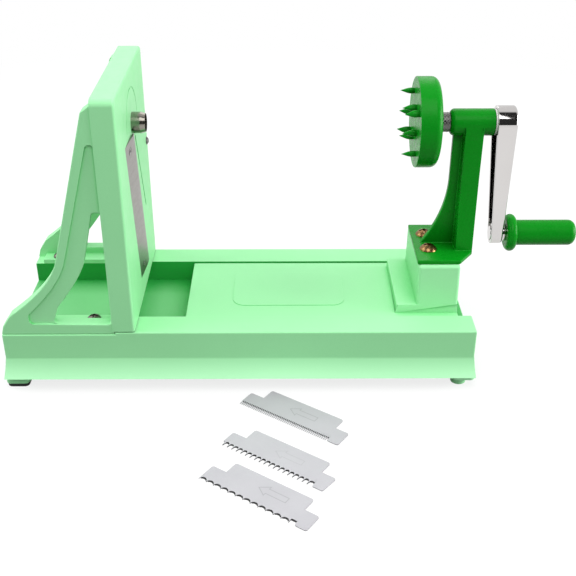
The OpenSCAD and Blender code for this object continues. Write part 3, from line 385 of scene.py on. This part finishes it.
# Tower: a hollow mint moulding. Its plate carries the cutters, and two side frames with
# a recessed field and an open window brace it and stand on the rails.
tower = solid_copy("tower_frame")
PLATE_FOOT, PLATE_LIFT = 41.9, 0.4
PLATE_BACK, PLATE_FACE, PLATE_SIDE, PLATE_TOP = -80.0, -66.0, 57.0, 186.0
FRAME_SIDE = 50.0
for v in tower.verts:
    if abs(v.co.z / MM - PLATE_FOOT) < 0.02 and v.co.x / MM > PLATE_BACK - 0.1:
        v.co.z += PLATE_LIFT * MM
ease_edges(tower, 1.5 * MM, 4, lambda at, e: at.x > PLATE_FACE - 0.1
           and (abs(at.y) > PLATE_SIDE or at.z > PLATE_TOP))
ease_edges(tower, 0.7 * MM, 3, lambda at, e: at.x < PLATE_BACK - 0.2 and abs(at.y) > FRAME_SIDE)
finished("tower", tower, "base", mint_plastic, ["tower_frame"])

# Tower screws: four dark zinc-plated cross-recess pan heads that go down through the
# side frames' flanges into the rails.
TOWER_HEAD_Z, TOWER_HEAD_REACH, HEAD_GROWTH, HEAD_LIFT = 43.1, 6.0, 1.3, 0.5


def plated_metal(name, shade, dull, rough_low, rough_high, spots=380.0, metal=1.0, bump=0.12,
                 stretch=(1, 1, 1)):
    """Bare or plated metal: cloudy tone, smears in its gloss, painted shade in its hollows and fine
    marks.
    """
    made, tree, skin = surface(name, Metallic=metal)
    place = put(tree, "TexCoord").outputs["Object"]
    place = put(tree, "Mapping", {"Vector": place, "Scale": stretch}).outputs[0]
    marks = put(tree, "TexNoise", {"Vector": place, "Scale": spots, "Detail": 5.0}).outputs["Fac"]
    clouds = put(tree, "TexNoise", {"Vector": place, "Scale": spots / 9,
                                    "Detail": 3.0}).outputs["Fac"]
    tone = shade_mix(tree, spread(tree, clouds, 0.35, 0.7, 0.0, 0.6), shade, dull)
    # Painted shade: concave spots, such as cross recesses, are darkened.
    hollow_shade = spread(tree, put(tree, "NewGeometry").outputs["Pointiness"], 0.42, 0.49, 1.0, 0.0)
    tone = shade_mix(tree, hollow_shade, tone, tuple(c * 0.3 for c in dull))
    tree.links.new(tone, skin.inputs["Base Color"])
    tree.links.new(spread(tree, marks, 0.3, 0.7, rough_low, rough_high), skin.inputs["Roughness"])
    fine = put(tree, "Bump", {"Strength": bump, "Distance": 0.00005, "Height": marks})
    tree.links.new(fine.outputs["Normal"], skin.inputs["Normal"])
    return made


dark_zinc = plated_metal("dark_zinc_plating", (0.2, 0.18, 0.16), (0.1, 0.09, 0.08), 0.25, 0.45)


def grow_heads(bm, seat, reach, share, lift):
    """Widens and lifts the screw heads above their seat, each round its own middle. The
    middle is found in a few steps, from the corners within reach of the last guess."""
    heads = [v for v in bm.verts if v.co.z > (seat - 0.01) * MM]
    while heads:
        middle = heads[0].co.copy()
        for _ in range(3):
            near = [v.co for v in heads if (v.co - middle).xy.length < reach * MM]
            middle = (Vector(map(min, *near)) + Vector(map(max, *near))) / 2
        near = [v for v in heads if (v.co - middle).xy.length < reach * MM]
        for v in near:
            v.co.xy = middle.xy + (v.co.xy - middle.xy) * share
            if v.co.z > (seat + 0.01) * MM:
                v.co.z = (seat + lift) * MM + (v.co.z - seat * MM) * share
        heads = [v for v in heads if v not in near]


fixings = solid_copy("tower_screws")
grow_heads(fixings, TOWER_HEAD_Z, TOWER_HEAD_REACH, HEAD_GROWTH, HEAD_LIFT)
ease_edges(fixings, 0.12 * MM, 2)
finished("tower_fixings", fixings, "base", dark_zinc, ["tower_screws"])

# Straight blade: a ground stainless plate that leans on the tower, flush at the back
# and proud at the cutting edge. Two countersunk screws hold it.
blade_steel = plated_metal("ground_steel", (0.3, 0.28, 0.265), (0.24, 0.225, 0.21), 0.3, 0.45,
                           160.0, stretch=(1, 1, 14))
blade = solid_copy("straight_blade")
ease_edges(blade, 0.12 * MM, 2)
finished("slicing_blade", blade, "base", blade_steel, ["straight_blade"])
zinc = plated_metal("zinc_plating", (0.36, 0.35, 0.34), (0.2, 0.2, 0.2), 0.22, 0.42)
sunk = solid_copy("blade_screws")
ease_edges(sunk, 0.1 * MM, 2)
finished("blade_fixings", sunk, "base", zinc, ["blade_screws"])

# Coring tube: a polished stainless tube through the plate on the crank's axis, ground
# thin at its open end so that it cuts a core.
AXIS_Z = 159.5


def turned(profile, z, steps=64):
    """Spins corners given as (x, radius, rounding) in mm round the line at height z."""
    bm = bmesh.new()
    centre = Vector((0, 0, z)) * MM
    points = [bm.verts.new(Vector((x, 0, z + r)) * MM) for x, r, ease in profile]
    for a, b in zip(points, points[1:]):
        bm.edges.new((a, b))
    bmesh.ops.spin(bm, geom=bm.verts[:] + bm.edges[:], cent=centre, axis=(1, 0, 0), dvec=(0, 0, 0),
                   angle=math.tau, steps=steps, use_merge=True, use_duplicate=False)
    bmesh.ops.remove_doubles(bm, verts=bm.verts, dist=MERGE)
    bmesh.ops.recalc_face_normals(bm, faces=bm.faces)
    for x, r, ease in profile:
        if not ease:
            continue
        ring = [e for e in bm.edges if all(
            abs(v.co.x / MM - x) < 0.01
            and abs(math.hypot(v.co.y, v.co.z - centre.z) / MM - r) < 0.01 for v in e.verts)]
        bmesh.ops.bevel(bm, geom=ring, offset=ease * MM, offset_type="OFFSET",
                        segments=max(2, int(ease * 3)), profile=0.5, affect="EDGES",
                        clamp_overlap=False, material=-1)
    return bm


TUBE_R, TUBE_BORE_R, EDGE_LAND = 6.6, 5.6, 0.15
TUBE_BACK, GRIND_X, TUBE_END = -80.0, -60.5, -57.5
tube_steel = plated_metal("polished_steel", (0.33, 0.31, 0.27), (0.2, 0.19, 0.16), 0.12, 0.3, 240.0,
                          stretch=(1, 8, 8))
tube = turned([(TUBE_BACK, TUBE_R, 0.2), (GRIND_X, TUBE_R, 0.15),
               (TUBE_END, TUBE_BORE_R + EDGE_LAND, 0), (TUBE_END, TUBE_BORE_R, 0),
               (TUBE_BACK, TUBE_BORE_R, 0.2), (TUBE_BACK, TUBE_R, 0.2)], AXIS_Z)
finished("corer", tube, "base", tube_steel, ["coring_tube"])

# Slot screw: a small dark cross-recess screw on the cutting face at the far side, which
# holds the comb blade's end.
dark_metal = plated_metal("blackened_steel", (0.16, 0.155, 0.15), (0.07, 0.07, 0.065), 0.25, 0.5)
clamp = solid_copy("slot_screw")
ease_edges(clamp, 0.12 * MM, 2)
finished("clamp_fixing", clamp, "base", dark_metal, ["slot_screw"])

# Comb blades: three loose stainless sheets on the table, punched with fine, medium and
# coarse teeth, with ground roots whose faces are painted near black as painted shade. The
# ends are lower tabs, one of them without teeth, and an outline arrow is etched in each,
# faintest in the medium one.
COMB_TURN, COMB_T, COMB_END = math.radians(-35), 0.6, 36.0
ROOT_Y, GROUND, ROOT_SHADE_BLACK = -7.85, 0.9, (0.012, 0.012, 0.013)
ARROW = [(-7, 1.5), (-0.5, 5.9), (-0.5, 3.8), (13, 3.8), (13, -0.8), (-0.5, -0.8), (-0.5, -2.9)]
ARROW_LINE, ARROW_Y, ETCH_PROUD = 0.5, 0.6, 0.02
FINE = {"middle": (36.0, -88.0), "roots": (-8.2, -6.9), "first": -36.1, "pitch": 1.3,
        "thin": 0.5, "arch": 0.0, "arrow_x": 0.0, "etched": 0.36}
MEDIUM = {"middle": (26.1, -128.48), "roots": (-8.6, -6.9), "first": -35.075, "pitch": 3.35,
          "thin": 0.45, "arch": 0.55, "arrow_x": 1.0, "etched": 0.42}
COARSE = {"middle": (15.6, -159.02), "roots": (-9.6, -7.0), "first": 0.0, "pitch": 5.1,
          "thin": 1.0, "arch": 0.0, "arrow_x": 2.5, "etched": 0.36}
comb_steel = plated_metal("matt_sheet_steel", (0.47, 0.46, 0.49), (0.43, 0.42, 0.45), 0.55, 0.7,
                          420.0, metal=0.0, bump=0.05)
tree = comb_steel.node_tree
base_colour = tree.nodes["Principled BSDF"].inputs["Base Color"]
bare = base_colour.links[0].from_socket
ground = put(tree, "Attribute", {}, attribute_name="ground").outputs["Fac"]
tree.links.new(shade_mix(tree, ground, bare, ROOT_SHADE_BLACK), base_colour)


def thin_teeth(bm, first, pitch, thin, arch):
    """Narrows each tooth round its own middle, and arches the gaps between the teeth."""
    for v in bm.verts:
        middle = first + round((v.co.x / MM - first) / pitch) * pitch
        if v.co.y / MM < ROOT_Y + 0.05 and abs(v.co.x / MM - middle) < pitch / 2 - 0.01:
            v.co.x = (middle + (v.co.x / MM - middle) * thin) * MM
    if arch:
        roots = [e for e in bm.edges if e.calc_length() > 0.1 * MM
                 and all(abs(v.co.y / MM - ROOT_Y) < 0.02 for v in e.verts)]
        added = bmesh.ops.subdivide_edges(bm, edges=roots, cuts=1)["geom_inner"]
        for v in added:
            if isinstance(v, bmesh.types.BMVert):
                v.co.y += arch * MM


def outline_arrow(place, shift):
    """The arrow's outline as a flat line, a hair above the sheet."""
    bm = bmesh.new()
    inner = bm.faces.new([
        bm.verts.new(Vector((x + shift, y + ARROW_Y, COMB_T + ETCH_PROUD)) * MM)
        for x, y in reversed(ARROW)])
    bm.normal_update()
    bmesh.ops.inset_region(bm, faces=[inner], thickness=ARROW_LINE * MM, use_boundary=True,
                           use_even_offset=True)
    bmesh.ops.delete(bm, geom=[inner], context="FACES_ONLY")
    bm.transform(place)
    return bm


for grade, facts in (("fine", FINE), ("medium", MEDIUM), ("coarse", COARSE)):
    middle = Vector((*facts["middle"], 0)) * MM
    lay = Matrix.Translation(middle) @ Matrix.Rotation(COMB_TURN, 4, "Z")
    unlay = lay.inverted()
    low, high = facts["roots"]
    comb = solid_copy(grade + "_comb_blade")
    comb.transform(unlay)
    thin_teeth(comb, facts["first"], facts["pitch"], facts["thin"], facts["arch"])
    comb.transform(lay)
    for v in comb.verts:
        at = unlay @ v.co / MM
        if at.z < 0.01 and low < at.y < high and abs(at.x) < COMB_END + 0.5:
            v.co -= lay.to_3x3() @ Vector((0, GROUND * MM, 0))
    comb.normal_update()
    # Painted shade: the upright and slanted faces at the tooth roots are painted near black.
    root_shade_layer = comb.faces.layers.float.new("ground")
    for face in comb.faces:
        at = unlay @ face.calc_center_median() / MM
        if (low - 1.2 < at.y < high + 0.3 and abs(at.x) < COMB_END
                and abs(face.normal.z) < 0.97):
            face[root_shade_layer] = 1.0
    finished(grade + "_comb", comb, grade + "_comb", comb_steel,
                     [grade + "_comb_blade"])
    etched = facts["etched"]
    etch = plated_metal(grade + "_etched_steel", (etched, etched * 0.98, etched * 1.04),
                        (etched * 0.95, etched * 0.93, etched), 0.6, 0.75, 420.0, metal=0.0,
                        bump=0.05)
    arrow = outline_arrow(lay, facts["arrow_x"])
    finished(grade + "_arrow", arrow, grade + "_comb", etch)

# Carriage: a mint moulding that slides in the channel, with a faint raised panel, a
# step and the hollow block that the bracket is screwed to.
carriage = solid_copy("carriage")
STEP_X, STEP_Z, STEP_HALF_W = 101.4, 46.5, 32.03
BLOCK_X, BLOCK_TOP, BLOCK_SIDE = 114.3, 73.7, 28.0
PLATE_Z, SLIDE_END, SLIDE_SIDE = 40.5, -36.1, 37.0
for v in carriage.verts:
    if abs(v.co.z / MM - STEP_Z) < 0.02 and 32.3 < abs(v.co.y) / MM < 32.6:
        v.co.y = math.copysign(STEP_HALF_W * MM, v.co.y)
bmesh.ops.remove_doubles(carriage, verts=carriage.verts, dist=MERGE)
bmesh.ops.dissolve_limit(carriage, angle_limit=FLAT * 3, use_dissolve_boundaries=False,
                         verts=carriage.verts, edges=carriage.edges)
ease_edges(carriage, 2.0 * MM, 5, lambda at, e: at.z > BLOCK_TOP - 0.2
           or at.z > STEP_Z + 0.5 and abs(at.y) > BLOCK_SIDE)
ease_edges(carriage, 0.9 * MM, 3, lambda at, e: PLATE_Z - 0.1 < at.z < STEP_Z + 0.5
           and STEP_X - 0.4 < at.x < BLOCK_X - 0.1)
ease_edges(carriage, 0.7 * MM, 3, lambda at, e: at.x < SLIDE_END + 0.6
           or at.z < PLATE_Z + 0.1 and abs(at.y) > SLIDE_SIDE)
finished("sliding_block", carriage, "carriage", mint_plastic, ["carriage"])

# Crank bracket: glossy deep green plastic in one piece with a flange, a tapering post,
# a curved rib and the hub that the shaft turns in. The flange is a little shorter than
# the block at both ends.
GREEN = (0.002, 0.25, 0.009)
GREEN_FLECK_AND_HIGHLIGHT = (0.012, 0.42, 0.035)
GREEN_DEEP = (0.0015, 0.22, 0.007)
GREEN_HOLLOW_SHADE = (0.0005, 0.1, 0.002)
green_plastic = moulded_plastic("deep_green_plastic", GREEN, GREEN_FLECK_AND_HIGHLIGHT, GREEN_DEEP, GREEN_HOLLOW_SHADE,
                                0.24, 0.36, 0.12, 0.1)
bracket = solid_copy("crank_bracket")
FLANGE_TOP, FLANGE_HALF_W, SET_BACK_FRONT, SET_BACK_REAR = 76.5, 29.9, 2.2, 4.0
for v in bracket.verts:
    if v.co.z / MM < FLANGE_TOP + 0.1 and abs(v.co.y) / MM > FLANGE_HALF_W - 0.2:
        v.co.y += SET_BACK_FRONT * MM if v.co.y < 0 else -SET_BACK_REAR * MM
ease_edges(bracket, 0.7 * MM, 3)
finished("bracket", bracket, "carriage", green_plastic, ["crank_bracket"])

# Bracket screws: two large yellow-passivated pan heads, with painted shade darkening them
# round their cross recesses.
bronze = plated_metal("yellow_passivate", (0.36, 0.21, 0.09), (0.12, 0.06, 0.025), 0.2, 0.4, 700.0)
FLANGE_HEAD_REACH = 7.5
yellow = solid_copy("bracket_screws")
grow_heads(yellow, FLANGE_TOP, FLANGE_HEAD_REACH, HEAD_GROWTH, 0.0)
ease_edges(yellow, 0.15 * MM, 2)
finished("bracket_fixings", yellow, "carriage", bronze, ["bracket_screws"])

# Shaft and thrust washer: a ground steel shaft through the hub, and a white nylon
# washer that the arm runs against.
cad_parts["crank_shaft"].data.materials.clear()
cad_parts["crank_shaft"].data.materials.append(tube_steel)
made, tree, skin = surface("nylon", Roughness=0.45)
place = put(tree, "TexCoord").outputs["Object"]
dust = put(tree, "TexNoise", {"Vector": place, "Scale": 500.0, "Detail": 4.0}).outputs["Fac"]
NYLON, DUSTY_NYLON = (0.8, 0.8, 0.76), (0.62, 0.62, 0.58)
tree.links.new(shade_mix(tree, dust, NYLON, DUSTY_NYLON), skin.inputs["Base Color"])
washer = solid_copy("thrust_washer")
finished("nylon_washer", washer, "crank", made, ["thrust_washer"])

# Knurled nut: dark steel with a diamond knurl, screwed on the shaft against the wheel.
NUT_X0, NUT_W, NUT_R, NUT_RINGS, NUT_STEPS = 123.3, 7.6, 6.0, 20, 96
KNURL_TEETH, KNURL_TWIST, KNURL_H, KNURL_SINK = 12, 1.7, 0.32, 0.1
nut = turned([(NUT_X0 + NUT_W * i / NUT_RINGS, NUT_R, 0) for i in range(NUT_RINGS + 1)],
             AXIS_Z, NUT_STEPS)
for v in nut.verts:
    angle = math.atan2(v.co.z - AXIS_Z * MM, v.co.y)
    waves = [math.sin(KNURL_TEETH * angle + hand * v.co.x / MM * KNURL_TWIST) for hand in (-1, 1)]
    lift = KNURL_H * (1 - max(abs(w) for w in waves) ** 0.7) * MM
    v.co += Vector((0, math.cos(angle), math.sin(angle))) * (lift - KNURL_SINK * MM)
finished("knurled_lock_nut", nut, "crank", dark_metal, ["knurled_nut"])

# Spiked wheel: a thick deep green disc with a rounded back edge and eight leaf-shaped
# spikes that hold the vegetable, in two rings of four. It is moulded in one piece.
WHEEL_X0, WHEEL_X1, WHEEL_R = 109.6, 123.3, 28.0
WHEEL_BORE_R = 4.2
wheel = turned([(WHEEL_X0, 0.0, 0), (WHEEL_X0, WHEEL_R, 0.5), (WHEEL_X1, WHEEL_R, 4.5),
                (WHEEL_X1, WHEEL_BORE_R, 0)], AXIS_Z, 128)
LEAF = [(0.0, 2.15), (-1.4, 2.3), (-2.8, 2.25), (-4.2, 1.95), (-5.7, 1.4), (-7.2, 0.75),
        (-8.3, 0.3), (-9.0, 0.0)]
LEAF_L, LEAF_FOOT_R, LEAF_SUNK, LEAF_LEAN, LEAF_FLAT = 9.0, 2.15, 0.4, 0.7, 0.8
for ring_r, first in ((20.0, 56.0), (11.0, 17.0)):
    for quarter in range(4):
        turn = math.radians(first + 90 * quarter)
        spike = turned([(WHEEL_X0 + LEAF_SUNK, LEAF_FOOT_R, 0)]
                       + [(WHEEL_X0 + x, r, 0) for x, r in LEAF], 0.0, 20)
        for v in spike.verts:
            out = max(0.0, (WHEEL_X0 - v.co.x / MM) / LEAF_L)
            v.co.z += LEAF_LEAN * MM * out * out
            v.co.y *= LEAF_FLAT
        tangent = Vector((0, -math.sin(turn), math.cos(turn)))
        radial = Vector((0, math.cos(turn), math.sin(turn)))
        centre = Vector((0, 0, AXIS_Z * MM)) + radial * ring_r * MM
        stand = Matrix((Vector((1, 0, 0)), radial, tangent)).transposed().to_4x4()
        spike.transform(Matrix.Translation(centre) @ stand)
        leaf = bpy.data.meshes.new("leaf")
        spike.to_mesh(leaf)
        spike.free()
        wheel.from_mesh(leaf)
        bpy.data.meshes.remove(leaf)
finished("spike_wheel", wheel, "crank", green_plastic, ["spiked_wheel"])

# Crank arm: pressed steel channel, open towards the base, with bright chrome plating
# and a generous rounding along its outer edge.
ARM_FACE_X, GRIP_Z, ARM_HOLE_REACH = 171.85, 83.0, 5.0
chrome = plated_metal("chrome_plating", (0.64, 0.62, 0.61), (0.56, 0.54, 0.53), 0.03, 0.09, 90.0,
                      bump=0.03)
arm = solid_copy("crank_arm")
ease_edges(arm, 1.5 * MM, 5, lambda at, e: abs(at.x - ARM_FACE_X) < 0.05
           and math.hypot(at.y, at.z - AXIS_Z) > ARM_HOLE_REACH
           and math.hypot(at.y, at.z - GRIP_Z) > ARM_HOLE_REACH)
ease_edges(arm, 0.3 * MM, 2)
finished("arm", arm, "crank", chrome, ["crank_arm"])
cross_head = solid_copy("crank_screw")
ease_edges(cross_head, 0.12 * MM, 2)
finished("arm_fixing", cross_head, "crank", zinc, ["crank_screw"])
axle = solid_copy("grip_axle")
ease_edges(axle, 0.3 * MM, 2)
finished("axle", axle, "crank", chrome, ["grip_axle"])

# Grip: deep green plastic tube that turns on the shouldered rivet, with a bulging
# flange at the arm and a snapped-in cap at its end.
GRIP_X0, GRIP_X1, GRIP_R, GRIP_BORE_R = 174.2, 220.4, 8.4, 3.55
BULGE_R, BULGE_W, BULGE_ROUND = 12.3, 6.6, 3.3
CAP_R, CAP_SUNK, CAP_SEAT, CAP_FLOOR = 6.2, 0.7, 4.5, 5.3
DOME_R, DOME_STOP, DOME_STEP = 4.5, 59, 8
dome = [(GRIP_X1 - DOME_R + DOME_R * math.sin(math.radians(a)),
         GRIP_R - DOME_R + DOME_R * math.cos(math.radians(a)), 0)
        for a in range(0, DOME_STOP, DOME_STEP)]
grip = turned([(GRIP_X0, GRIP_BORE_R, 0), (GRIP_X0, BULGE_R, BULGE_ROUND),
               (GRIP_X0 + BULGE_W, BULGE_R, BULGE_ROUND), (GRIP_X0 + BULGE_W, GRIP_R, 0.4)]
              + dome + [(GRIP_X1 - CAP_SUNK, CAP_R, 0), (GRIP_X1 - CAP_SEAT, CAP_R, 0),
                        (GRIP_X1 - CAP_FLOOR, GRIP_BORE_R, 0), (GRIP_X0, GRIP_BORE_R, 0)],
              GRIP_Z)
finished("turning_grip", grip, "grip", green_plastic, ["handle_grip"])
cap = solid_copy("grip_cap")
ease_edges(cap, 0.3 * MM, 2)
finished("end_cap", cap, "grip", green_plastic, ["grip_cap"])
